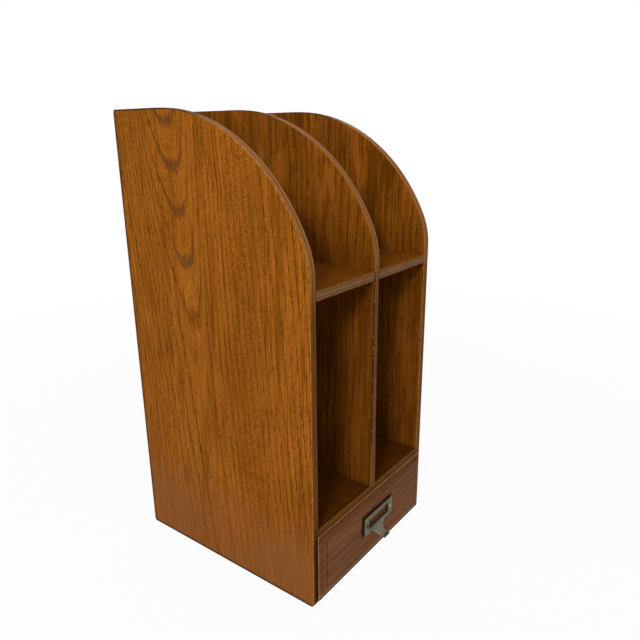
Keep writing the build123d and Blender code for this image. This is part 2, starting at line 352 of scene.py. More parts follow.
@dataclass(frozen=True)
class Board:
    """One plywood board: how it lies, its veneer, and the painted shade over its inner faces."""

    node: str
    through: Axis
    along: Axis
    figure: Figure
    seed: float
    tone: float  # share of painted shade over its inner faces
    red_stain_and_reflection: float  # share of reddish stain near its foot, with a painted reflection of the pale floor
    tan: float = 0.5  # share of stain worn off its cut edge
    ply_pitch: float = 3.8  # from one dark ply to the next
    flaked: bool = False  # veneer flaked off along its front arris
    shade: float = 0.0  # share of darkening towards its front
    outside: float = 0.0  # which way its outer face looks, 1 or -1; 0 where both lie inside

    @property
    def across(self) -> Axis:
        """The direction left over, across the grain in the face."""
        return next(axis for axis in Axis if axis not in (self.through, self.along))

    @property
    def middle(self) -> float:
        """Middle of the board's thickness, in millimetres."""
        low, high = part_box(self.node)
        return (low[self.through.value] + high[self.through.value]) / 2 * MM_PER_M

    @property
    def half(self) -> float:
        """Half of the board's thickness, in millimetres."""
        low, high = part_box(self.node)
        return (high[self.through.value] - low[self.through.value]) / 2 * MM_PER_M


@dataclass(frozen=True)
class Arches:
    """Nested V figure of a side's veneer, open towards the top; measures in millimetres."""

    top: float = 473.5  # height of the highest crown
    top_centre: float = 44.0  # its place, from the middle of the side towards the back
    drift: float = 0.097  # by which the crowns move forward for each millimetre down
    pitch: float = 37.7  # from the highest crown to the next
    widening: float = 0.00102  # growth of that distance for each millimetre down
    crown_flat: float = 5.0  # half of the flat part of a crown
    crown_round: float = 10.0
    crown_reach: Step = (24.0, 8.0)  # distances beside a crown over which its smudge starts
    crown_fade: Step = (10.0, 90.0)  # heights above the calm part over which it starts
    ridge: Step = (-0.5, 0.5)  # strip in which the front of a crown passes into its back
    back_slope: float = 2.45
    back_curve: float = 0.030
    back_hold: Step = (16.0, 60.0)  # distances over which the legs behind turn upright
    back_hold_share: float = 0.70
    front_slope: float = 2.9
    front_curve: float = 0.16
    front_bend: float = 13.0  # the legs in front are straight beyond this
    front_hold: Step = (8.0, 60.0)
    front_hold_share: float = 0.90
    calm: float = 262.0  # the lines run straight below this height
    calm_share: float = 0.10
    calm_blend: float = 50.0
    grainy_middle: float = -46.0  # strip of short, dotted pores in front of the crowns
    grainy_half: float = 24.0
    grainy_core: float = 0.4  # share of the strip that is fully grainy

    def grainy(self, u: Value) -> Value:
        """1 in the strip of short pores."""
        return abs(u - self.grainy_middle).rise(self.grainy_half, self.grainy_half * self.grainy_core)

    def _aside(self, u: Value, v: Value) -> Value:
        """Distance behind the line on which the crowns stand."""
        return u - self.top_centre - (v - self.top) * self.drift

    def turns(self, u: Value, v: Value) -> Value:
        """Number of growth rings from the highest crown, rising outwards and downwards.

        Args:
            u: place across the side.
            v: height.

        Returns:
            The number, whole at each crown's line.
        """
        side = self._aside(u, v)
        beyond = (abs(side) - self.crown_flat).most(0.0)
        rounded = (beyond * beyond + self.crown_round**2) ** 0.5 - self.crown_round
        behind = side.rise(*self.ridge)
        to_back = rounded * behind
        to_front = rounded * (1.0 - behind)
        above = v - self.calm
        climb = above.math("SMOOTH_MAX", above, above * self.calm_share, self.calm_blend)
        hold = 1.0 - to_front.rise(*self.front_hold) * self.front_hold_share
        hold = hold - to_back.rise(*self.back_hold) * self.back_hold_share
        spread = to_back * (self.back_slope + to_back * self.back_curve)
        bent = to_front.least(self.front_bend) * self.front_curve
        spread = spread + to_front * (self.front_slope + bent)
        down = (self.top - self.calm) - climb * hold
        return (down * (1.0 - down * self.widening) + spread) / self.pitch

    def crowns(self, u: Value, v: Value) -> Value:
        """1 where the crowns stand, falling to 0 up their legs."""
        low, high = self.crown_fade
        return abs(self._aside(u, v)).rise(*self.crown_reach) * v.rise(self.calm + low, self.calm + high)


@dataclass(frozen=True)
class VeneerNoise:
    """Noise fields of the face veneer."""

    sway: Grain = Grain(0.011, 0.0035)
    ripple: Grain = Grain(0.06, 0.014, 4.0)
    wobble: Grain = Grain(0.05, 0.020, 6.0, 3.0, 0.6)
    waver: Grain = Grain(0.30, 0.14, 47.0, 2.0, 0.6)
    patchy: Grain = Grain(0.02, 0.008, 11.0)
    fibre: Grain = Grain(2.6, 0.008, 2.0, 4.0, 0.68)  # across is counted in growth rings
    fine: Grain = Grain(0.80, 0.018, 7.0, 3.0, 0.62)
    grit: Grain = Grain(1.00, 0.66, 29.0, 2.0, 0.6)
    dashes: Grain = Grain(0.90, 0.13, 13.0, 2.0, 0.55)
    flame: Grain = Grain(0.050, 0.011, 43.0, 4.0, 0.62)
    streaks: Grain = Grain(0.11, 0.006, 37.0, 3.0, 0.55)
    streak_lean: float = 0.004
    cloud: Grain = Grain(0.016, 0.010, 17.0, 3.0)
    rhythm: float = 0.33  # changes in the width of the growth rings, per ring
    cast: Grain = Grain(0.012, 0.014, 23.0)
    sheen: Grain = Grain(0.05, 0.03, 31.0, 3.0)
    chips: Speckle = Speckle(0.22, 4.0, 0.7)


@dataclass(frozen=True)
class VeneerMarks:
    """Steps that turn the noise into marks, and the shares of the colours they bring."""

    arch_sway: float = 6.0
    arch_ripple: float = 5.0
    arch_wobble: float = 12.0
    arch_rhythm: float = 0.25
    straight_sway: float = 30.0
    straight_ripple: float = 3.0
    straight_rhythm: float = 1.3
    waver: float = 0.30
    early_end: Step = (0.26, 0.06)  # in parts of a growth ring
    early_start: Step = (0.86, 0.98)
    minor_lines: float = 3.0  # fine lines per growth ring
    minor_end: Step = (0.45, 0.0)
    minor_start: Step = (0.80, 1.0)
    minor: Share = (0.30, 0.14)
    patchy: Step = (0.36, 0.62)
    fibre_light: Step = (0.32, 0.68)
    fine_light: Step = (0.36, 0.64)
    light_share: float = 0.5
    line_dashes: Step = (0.35, 0.60)
    line_dash_share: float = 0.42
    line_patch_share: float = 0.13
    line_share: float = 0.22
    fine_dark: Step = (0.50, 0.34)
    fine_share: float = 0.85
    fine_grainy: float = 0.5
    grit: Step = (0.46, 0.58)
    grit_share: float = 0.45
    grit_grainy: float = 0.40
    pores: Step = (0.54, 0.64)
    pore_places: Share = (0.55, 0.45)
    pore_share: float = 0.70
    pore_grainy: float = 0.45
    streaks: Step = (0.52, 0.66)
    streak_share: float = 0.60
    front_strip: Step = (-62.0, -92.0)  # streaky strip of an arched face, in millimetres
    front_strip_height: Step = (420.0, 300.0)
    arch_streaks: Share = (0.25, 0.32)
    upper: Step = (290.0, 430.0)  # heights over which the painted shade on a straight face thins out and its flame figure grows stronger
    # Share of the painted shade taken off at the top, where more light falls
    upper_shade_relief: float = 0.60
    crown_dashes: Step = (0.40, 0.58)
    crown: Share = (0.60, 0.15)
    flame_light: Step = (0.46, 0.34)
    flame_light_share: Share = (0.35, 0.40)
    flame_dark: Step = (0.50, 0.66)
    flame_dark_share: Share = (0.30, 0.50)
    cloud: Step = (0.42, 0.74)
    cloud_share: float = 0.22
    level_body: float = 0.4  # share of plain colour on boards that lie level
    outer_face: Step = (0.1, -0.1)
    pore_depth: float = -0.7
    fine_depth: float = 0.3
    early_depth: float = -0.25
    foot: Step = (125.0, 20.0)  # heights over which the reddish stain and its painted reflection set in
    cast: Step = (0.35, 0.6)
    cast_share: Share = (0.5, 0.5)
    shade: Step = (-60.0, -122.0)
    chips: Step = (0.46, 0.56)
    roughness: Share = (0.22, 0.34)
    bump: float = 0.00012


@dataclass(frozen=True)
class CutEdge:
    """Steps and shares of the plies on a cut edge, and of the wear and stain along it."""

    wander_rate: float = 0.02
    wander_through: float = 0.05
    wander: float = 0.3
    streak: Grain = Grain(1.3, 0.04, 3.0, 3.0, 0.6)
    patches: Grain = Grain(0.05, 0.05, 5.0)
    patchy: Step = (0.35, 0.65)
    bare: Share = (0.4, 0.8)
    arc: Step = (300.0, 350.0)  # heights over which the straight edge becomes the arc, which takes a painted highlight
    plies: Step = (0.0, 0.8)
    ply_share: float = 0.75
    streaks: Step = (0.45, 0.72)
    streak_share: float = 0.45
    skin: Step = (1.6, 0.9)  # face veneer, in millimetres below the face
    skin_share: float = 0.7
    flake_depth: Step = (2.4, 1.6)
    flake_rate: float = 0.070
    flake_shift: float = 9.0
    flake_detail: float = 4.0
    flake_rough: float = 0.8
    flakes: Step = (0.36, 0.50)
    flake_top: Step = (335.0, 320.0)
    flake_foot: Step = (110.0, 150.0)
    stained_foot: Step = (120.0, 60.0)
    stained_share: float = 0.65
    outline_back: Step = (6.0, 0.6)  # millimetres from the board's back, top and foot
    outline_top: Step = (2.2, 0.8)
    outline_foot: Step = (4.2, 2.0)
    outline_share: float = 0.80
    arris: Step = (0.97, 0.80)  # how squarely a face looks through the board
    edge: Step = (0.55, 0.25)


@dataclass(frozen=True)
class OakPlywood:
    """Oak-veneered plywood under a brushed stain and a satin varnish."""

    stain: Stain = Stain()
    arches: Arches = Arches()
    noise: VeneerNoise = VeneerNoise()
    marks: VeneerMarks = VeneerMarks()
    cut: CutEdge = CutEdge()
    ring_pitch: float = 7.6
    shine: float = 0.015
    arc_start: float = 18.0  # place from the middle to the back where the flat top ends
    arc_blend: float = 40.0

    def _rings(self, recipe: Recipe, board: Board, u: Value, v: Value) -> Value:
        """Growth rings crossed from the heart of the log to a point.

        Args:
            recipe: the material's tree.
            board: the board that is dressed.
            u: place across the grain.
            v: place along the grain.

        Returns:
            Their number.
        """
        noise, marks = self.noise, self.marks
        sway = noise.sway.over(recipe, u, v, board.seed) - NOISE_MEAN
        ripple = noise.ripple.over(recipe, u, v, board.seed) - NOISE_MEAN
        if board.figure is Figure.CATHEDRAL:
            wobble = noise.wobble.over(recipe, u, v, board.seed) - NOISE_MEAN
            moved = u + sway * marks.arch_sway + ripple * marks.arch_ripple
            return self.arches.turns(moved, v + wobble * marks.arch_wobble)
        return (u + sway * marks.straight_sway + ripple * marks.straight_ripple) / self.ring_pitch

    def _face(
        self, recipe: Recipe, board: Board, u: Value, v: Value, facing: Sequence[Value]
    ) -> tuple[Value, Value]:
        """Colour and relief of the face veneer.

        Args:
            recipe: the material's tree.
            board: the board that is dressed.
            u: place across the grain.
            v: place along the grain.
            facing: direction that the face looks in.

        Returns:
            The colour, and the relief from 0 to 1.
        """
        noise, marks, stain, seed = self.noise, self.marks, self.stain, board.seed
        cathedral = board.figure is Figure.CATHEDRAL
        rings = self._rings(recipe, board, u, v)
        rhythm = recipe.noise(rings * noise.rhythm, seed, detail=1.0) - NOISE_MEAN
        rings = rings + rhythm * (marks.arch_rhythm if cathedral else marks.straight_rhythm)
        rings = rings + (noise.waver.over(recipe, u, v, seed) - NOISE_MEAN) * marks.waver
        turn = rings.fraction()
        early = turn.rise(*marks.early_end).most(turn.rise(*marks.early_start))
        minor = (rings * marks.minor_lines).fraction()
        minor = minor.rise(*marks.minor_end).most(minor.rise(*marks.minor_start))
        patchy = noise.patchy.over(recipe, u, v, seed).rise(*marks.patchy)
        fibre = noise.fibre.over(recipe, rings, v, seed)
        fields = (noise.fine, noise.grit, noise.dashes, noise.cloud)
        fine, grit, dashes, cloud = (grain.over(recipe, u, v, seed) for grain in fields)
        long = noise.streaks
        leaning = u * long.across + v * noise.streak_lean
        streaks = recipe.noise(leaning, v * long.along, seed + long.shift, long.detail, long.rough)
        pores = dashes.rise(*marks.pores) * early.share(*marks.pore_places)
        light = fibre.rise(*marks.fibre_light) * marks.light_share
        light = light + fine.rise(*marks.fine_light) * marks.light_share
        colour = recipe.mix(light, stain.body, stain.bright)
        marked = dashes.rise(*marks.line_dashes) * marks.line_dash_share
        line = early * (marked + patchy * marks.line_patch_share + marks.line_share)
        colour = recipe.mix(line + minor * patchy.share(*marks.minor), colour, stain.ring)
        grainy = self.arches.grainy(u) if cathedral else 0.0
        fine_share = marks.fine_share - grainy * marks.fine_grainy
        colour = recipe.mix(fine.rise(*marks.fine_dark) * fine_share, colour, stain.ring)
        grit_share = marks.grit_share + grainy * marks.grit_grainy
        colour = recipe.mix(grit.rise(*marks.grit) * grit_share, colour, stain.ring)
        colour = recipe.mix(pores * (marks.pore_share - grainy * marks.pore_grainy), colour, stain.pore)
        streaky = marks.streak_share
        if cathedral:
            strip = u.rise(*marks.front_strip) * v.rise(*marks.front_strip_height)
            streaky = strip.share(*marks.arch_streaks)
        colour = recipe.mix(streaks.rise(*marks.streaks) * streaky, colour, stain.ring)
        upper = v.rise(*marks.upper)
        if cathedral:
            crown = self.arches.crowns(u, v) * early * dashes.rise(*marks.crown_dashes).share(*marks.crown)
            colour = recipe.mix(crown, colour, stain.smudge)
        else:
            flame = noise.flame.over(recipe, u, v, seed)
            lit = flame.rise(*marks.flame_light) * upper.share(*marks.flame_light_share)
            dim = flame.rise(*marks.flame_dark) * upper.share(*marks.flame_dark_share)
            colour = recipe.mix(dim, recipe.mix(lit, colour, stain.bright), stain.ring)
        colour = recipe.mix(cloud.rise(*marks.cloud) * marks.cloud_share, colour, stain.ring)
        # Painted shade over level boards, and over inner faces, thinner towards the top
        if board.through is Axis.Z:
            colour = recipe.mix(marks.level_body, colour, stain.body)
            colour = recipe.mix(board.tone, colour, stain.inside)
        else:
            tone = (1.0 - upper * marks.upper_shade_relief) * board.tone
            if board.outside:
                tone = tone * (facing[board.through.value] * board.outside).rise(*marks.outer_face)
            colour = recipe.mix(tone, colour, stain.inside)
        relief = pores * marks.pore_depth + fine * marks.fine_depth + early * marks.early_depth
        return colour, relief

    def _outline(self, board: Board, place: Sequence[Value]) -> Value:
        """1 in the narrow dark line along the back, the top and the foot: painted shade, over stain
        gathered there.
        """
        low, high = (corner * MM_PER_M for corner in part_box(board.node))
        y, z, cut = place[Axis.Y.value], place[Axis.Z.value], self.cut
        back = y.rise(*(high.y - inset for inset in cut.outline_back))
        top = z.rise(*(high.z - inset for inset in cut.outline_top))
        foot = z.rise(*(low.z + inset for inset in cut.outline_foot))
        return back.most(top).most(foot)

    def _edge(self, recipe: Recipe, board: Board, u: Value, v: Value, w: Value) -> Value:
        """Colour of a cut edge, with its plies side by side.

        Args:
            recipe: the material's tree.
            board: the board that is dressed.
            u: place across the grain.
            v: place along the grain.
            w: place through the board.

        Returns:
            The colour.
        """
        stain, cut, seed = self.stain, self.cut, board.seed
        inward = board.half - abs(w - board.middle)
        deep = w * cut.wander_through + seed
        wander = recipe.noise(u * cut.wander_rate, v * cut.wander_rate, deep) * cut.wander
        layer = ((inward / board.ply_pitch + wander) * math.tau).sine()
        fibre = cut.streak
        drawn = v * fibre.along + u * fibre.along
        streak = recipe.noise(w * fibre.across, drawn, seed + fibre.shift, fibre.detail, fibre.rough)
        bare = cut.patches.over(recipe, u, v, seed).rise(*cut.patchy).share(*cut.bare) * board.tan
        light = recipe.mix(bare, stain.brown_ply, stain.tan_ply)
        dark = recipe.mix(bare, stain.brown_seam, stain.tan_seam)
        # The arc takes a painted highlight where it faces up
        if board.along is Axis.Z:
            arc = v.rise(*cut.arc)
            light = recipe.mix(arc, light, stain.lit_arc_ply)
            dark = recipe.mix(arc, dark, stain.lit_arc_seam)
        lines = layer.rise(*cut.plies) * cut.ply_share + streak.rise(*cut.streaks) * cut.streak_share
        lines = lines + inward.rise(*cut.skin) * cut.skin_share
        colour = recipe.mix(lines, light, dark)
        if not board.flaked:
            return colour
        gone = self._flakes(recipe, board, v) * inward.rise(*cut.flake_depth)
        return recipe.mix(gone, colour, stain.dark_stain_and_shade)

    def _flakes(self, recipe: Recipe, board: Board, v: Value) -> Value:
        """1 where veneer is gone along a straight front arris."""
        cut = self.cut
        rate, shift = v * cut.flake_rate, board.seed + cut.flake_shift
        ragged = recipe.noise(rate, shift, detail=cut.flake_detail, rough=cut.flake_rough)
        return ragged.rise(*cut.flakes) * v.rise(*cut.flake_top) * v.rise(*cut.flake_foot)

    def material(self, board: Board) -> bpy.types.Material:
        """Build the board's material.

        Args:
            board: the board that is dressed.

        Returns:
            A material for its node.
        """
        noise, marks, stain, cut = self.noise, self.marks, self.stain, self.cut
        recipe = Recipe.named(f"oak_{board.node}")
        place = recipe.place()
        facing = recipe.facing()
        u, v, w = (place[axis.value] for axis in (board.across, board.along, board.through))
        y, height = place[Axis.Y.value], place[Axis.Z.value]
        colour, relief = self._face(recipe, board, u, v, facing)
        # Reddish stain near the foot, with a painted reflection of the pale floor
        cast = noise.cast.over(recipe, u, v, board.seed).rise(*marks.cast)
        foot = height.rise(*marks.foot) * board.red_stain_and_reflection
        colour = recipe.mix(foot * cast.share(*marks.cast_share), colour, stain.red_stain_and_reflection)
        # Darker towards the front
        colour = recipe.mix(y.rise(*marks.shade) * board.shade, colour, stain.inside)
        # Painted shade, over gathered stain, along the back, the top and the foot
        if board.figure is Figure.CATHEDRAL:
            colour = recipe.mix(self._outline(board, place) * cut.outline_share, colour, stain.dark_stain_and_shade)
        flat = abs(facing[board.through.value])
        if board.flaked:
            rubbed = recipe.mix(self._flakes(recipe, board, v), stain.body, stain.dark_stain_and_shade)
        else:
            chips = noise.chips.over(recipe, (u, v, w), board.seed).rise(*marks.chips)
            rubbed = recipe.mix(chips, stain.body, stain.rubbed)
        # Arrises are rubbed in front, and behind the arc carry the dark line of painted shade over
        # gathered stain
        forward = y.rise(self.arc_start, self.arc_start - self.arc_blend)
        arris = recipe.mix(forward, stain.dark_stain_and_shade, rubbed)
        edge = self._edge(recipe, board, u, v, w)
        if board.figure is Figure.CATHEDRAL:
            edge = recipe.mix(height.rise(*cut.stained_foot) * cut.stained_share, edge, stain.dark_stain_and_shade)
        # Cut edges behind the arc are darker: painted shade over gathered stain
        edge = recipe.mix(forward, stain.brown_seam, edge)
        colour = recipe.mix(flat.rise(*cut.arris), colour, arris)
        colour = recipe.mix(flat.rise(*cut.edge), colour, edge)
        return recipe.surface(
            Base_Color=colour,
            Roughness=noise.sheen.over(recipe, u, v, board.seed).share(*marks.roughness),
            Specular_Ior_Level=self.shine,
            Normal=recipe.bump(relief, marks.bump),
        )


@dataclass(frozen=True)
class FrontWood:
    """Solid wood of the drawer front: red-brown stain, grain from end to end."""

    light: Colour = (0.275, 0.105, 0.040)
    dark: Colour = (0.120, 0.041, 0.014)
    pore: Colour = (0.045, 0.015, 0.006)
    worn: Colour = (0.400, 0.205, 0.100)
    # Painted shade in the step, under the lip and round the card frame; also dirt there, and the dark end
    # grain
    sunk: Colour = (0.022, 0.009, 0.003)
    # Painted shade over the top bevel
    deep: Colour = (0.075, 0.023, 0.004)
    shine: float = 0.015
    bevel: float = 10.5  # width of the bevelled border
    frame_height: float = 21.2
    # Grain
    sway: Grain = Grain(0.008, 0.02, 3.0)
    sway_share: float = 9.0
    ring_lean: float = 2.5  # growth rings crossed on the way in, for each one on the way up
    broad: Grain = Grain(0.006, 0.16, 8.0, 3.0, 0.6)
    broad_dark: Step = (0.32, 0.68)
    broad_share: float = 0.6
    fine: Grain = Grain(0.02, 0.9, 12.0, 3.0, 0.6)
    fine_dark: Step = (0.35, 0.7)
    fine_share: float = 0.4
    pores: Grain = Grain(0.12, 1.5, 21.0, 1.0)
    pore_step: Step = (0.58, 0.68)
    pore_share: float = 0.5
    # Sloped ends
    slope_aside: Step = (0.05, 0.12)
    slope_ahead: Step = (-0.7, -0.95)
    slope_streaks: Grain = Grain(0.05, 0.42, 30.0, 3.0, 0.6)
    slope_step: Step = (0.42, 0.6)
    slope_share: Share = (0.6, 0.15)
    # Wear, and dark lines of painted shade; distances in millimetres from the border of the front
    chip_rates: tuple[float, float] = (0.12, 0.2)
    chip_step: Step = (0.38, 0.6)
    rim_outer: Step = (3.4, 0.7)  # inside the inner border of the bevel
    rim_inner: Step = (0.0, 0.2)
    rim_share: Share = (0.25, 0.20)
    # Painted shadow of the step round the field
    step_outer: Step = (0.3, 0.0)
    step_inner: Step = (1.2, 0.4)  # beyond the inner border of the bevel
    step_shadow_share: float = 0.55
    below_top: Step = (0.5, 4.0)  # both lines are weaker above this
    below_top_share: Share = (0.75, 0.25)
    # Painted shade over the top bevel
    shaded_top_bevel: float = 2.5
    shaded_top_bevel_share: float = 0.45
    foot_light_start: Step = (3.4, 4.2)
    foot_light_end: Step = (7.0, 5.8)
    foot_light_share: float = 0.65
    # Painted shadow under the lip
    foot_shadow: Step = (3.7, 3.1)
    foot_shadow_share: float = 0.95
    # Dirt and painted shadow round the card frame
    dirt_and_shadow_reach: Step = (3.6, 2.0)
    dirt_and_shadow_side: Step = (-1.5, -0.3)
    dirt_and_shadow_share: float = 0.9
    # Darker inside the frame's window
    window: Step = (0.0, -2.0)
    window_share: float = 0.25
    lip_start: Step = (-0.85, -0.80)
    lip_end: Step = (-0.5, -0.6)
    lip_foot: Step = (0.9, 1.8)
    lip_share: Share = (0.5, 0.4)
    # End grain, dark from stain, with painted shade over it
    end_grain: Step = (0.85, 0.95)
    roughness: Share = (0.18, 0.36)
    pore_depth: float = -0.8
    fine_depth: float = 0.3
    bump: float = 0.0001

    def _outlines(self, recipe: Recipe, colour: Value, x: Value, z: Value, chips: Value) -> Value:
        """Add the rubbed lines and the painted shade lines that follow the shape of the front, and the
        dirt and painted shadow round the card frame.

        Args:
            recipe: the material's tree.
            colour: the colour so far.
            x: place across the front.
            z: height.
            chips: patchy wear.

        Returns:
            The colour with them.
        """
        low, high = (corner * MM_PER_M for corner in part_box("drawer_front"))
        above = z - low.z
        inset = (x - low.x).least(high.x - x).least(above).least(high.z - z)
        rim = inset.rise(*(self.bevel - inside for inside in self.rim_outer))
        rim = rim * inset.rise(*(self.bevel - inside for inside in self.rim_inner))
        step = inset.rise(*(self.bevel - inside for inside in self.step_outer))
        step = step * inset.rise(*(self.bevel + beyond for beyond in self.step_inner))
        lower = (high.z - z).rise(*(self.bevel + beyond for beyond in self.below_top))
        lower = lower.share(*self.below_top_share)
        colour = recipe.mix(rim * chips.share(*self.rim_share) * lower, colour, self.worn)
        # Painted shadow of the step
        colour = recipe.mix(step * self.step_shadow_share * lower, colour, self.sunk)
        # Painted shade over the top bevel
        top = (high.z - z).rise(self.bevel, self.bevel - self.shaded_top_bevel)
        colour = recipe.mix(top * self.shaded_top_bevel_share, colour, self.deep)
        foot = above.rise(*self.foot_light_start) * above.rise(*self.foot_light_end)
        colour = recipe.mix(foot * self.foot_light_share, colour, self.worn)
        # Painted shadow under the lip
        colour = recipe.mix(above.rise(*self.foot_shadow) * self.foot_shadow_share, colour, self.sunk)
        # Dirt and painted shadow above and to the left of the card frame, and a darker window
        low, high = (corner * MM_PER_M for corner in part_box("label_pull"))
        aside = abs(x - (low.x + high.x) / 2) - (high.x - low.x) / 2
        over = abs(z - (high.z - self.frame_height / 2)) - self.frame_height / 2
        away = aside.most(over)
        shaded = (low.x - x).most(z - high.z).rise(*self.dirt_and_shadow_side)
        dirt_and_shadow = away.rise(*self.dirt_and_shadow_reach) * shaded * self.dirt_and_shadow_share
        dirt_and_shadow = dirt_and_shadow + away.rise(*self.window) * self.window_share
        return recipe.mix(dirt_and_shadow, colour, self.sunk)

    def material(self) -> bpy.types.Material:
        """Build the material of the drawer front."""
        recipe = Recipe.named("stained_front")
        x, y, z = recipe.place()
        face_x, face_y, _ = recipe.facing()
        sway = self.sway.over(recipe, x, z) - NOISE_MEAN
        rings = z + y * self.ring_lean + sway * self.sway_share
        broad = self.broad.over(recipe, x, rings)
        fine = self.fine.over(recipe, x, rings)
        pores = self.pores.over(recipe, x, rings).rise(*self.pore_step)
        shadow = broad.rise(*self.broad_dark) * self.broad_share
        shadow = shadow + fine.rise(*self.fine_dark) * self.fine_share
        colour = recipe.mix(shadow, self.light, self.dark)
        colour = recipe.mix(pores * self.pore_share, colour, self.pore)
        # The sloped ends cut across the fibres, and stain sinks deeper there
        sloped = abs(face_x).rise(*self.slope_aside) * face_y.rise(*self.slope_ahead)
        streaks = self.slope_streaks.over(recipe, x, z).rise(*self.slope_step)
        colour = recipe.mix(sloped * streaks.share(*self.slope_share), colour, self.dark)
        across, up = self.chip_rates
        chips = recipe.noise(x * across, z * up, y, detail=3.0).rise(*self.chip_step)
        colour = self._outlines(recipe, colour, x, z, chips)
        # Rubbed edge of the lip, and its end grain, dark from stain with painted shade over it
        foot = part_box("drawer_front")[0].z * MM_PER_M
        lip = face_y.rise(*self.lip_start) * face_y.rise(*self.lip_end)
        lip = lip * z.rise(*(foot + height for height in self.lip_foot))
        colour = recipe.mix(lip * chips.share(*self.lip_share), colour, self.worn)
        colour = recipe.mix(abs(face_x).rise(*self.end_grain), colour, self.sunk)
        return recipe.surface(
            Base_Color=colour,
            Roughness=broad.share(*self.roughness),
            Specular_Ior_Level=self.shine,
            Normal=recipe.bump(pores * self.pore_depth + fine * self.fine_depth, self.bump),
        )


@dataclass(frozen=True)
class BareWood:
    """Unstained wood of the drawer box, a little yellowed."""

    light: Colour = (0.60, 0.40, 0.21)
    dark: Colour = (0.42, 0.25, 0.115)
    dust: Colour = (0.24, 0.16, 0.09)
    shine: float = 0.25
    sway: Grain = Grain(0.02, 0.006)
    sway_share: float = 12.0
    broad: Grain = Grain(0.30, 0.008, 2.0, 3.0, 0.6)
    broad_dark: Step = (0.35, 0.68)
    broad_share: float = 0.8
    fine: Grain = Grain(1.3, 0.04, 5.0)
    fine_dark: Step = (0.5, 0.8)
    fine_share: float = 0.3
    dusty: Speckle = Speckle(0.02, 3.0)
    dust_step: Step = (0.52, 0.75)
    dust_share: float = 0.4
    roughness: Share = (0.15, 0.58)
    fine_depth: float = 0.6
    broad_depth: float = 0.4
    bump: float = 0.00008

    def material(self, node: str, along: Axis, seed: float) -> bpy.types.Material:
        """Build the material of one piece of the drawer box.

        Args:
            node: the piece.
            along: the direction of its grain.
            seed: makes its grain differ from the others.

        Returns:
            Its material.
        """
        recipe = Recipe.named(f"bare_{node}")
        place = recipe.place()
        v = place[along.value]
        first, second = (place[axis.value] for axis in Axis if axis is not along)
        sway = self.sway.over(recipe, first, v, seed) * self.sway_share
        broad = self.broad.over(recipe, first + second + sway, v, seed)
        fine = self.fine.over(recipe, first - second, v, seed)
        dusty = self.dusty.over(recipe, (first, second, v), seed).rise(*self.dust_step)
        shadow = broad.rise(*self.broad_dark) * self.broad_share
        shadow = shadow + fine.rise(*self.fine_dark) * self.fine_share
        colour = recipe.mix(shadow, self.light, self.dark)
        colour = recipe.mix(dusty * self.dust_share, colour, self.dust)
        return recipe.surface(
            Base_Color=colour,
            Roughness=fine.share(*self.roughness),
            Specular_Ior_Level=self.shine,
            Normal=recipe.bump(fine * self.fine_depth + broad * self.broad_depth, self.bump),
        )


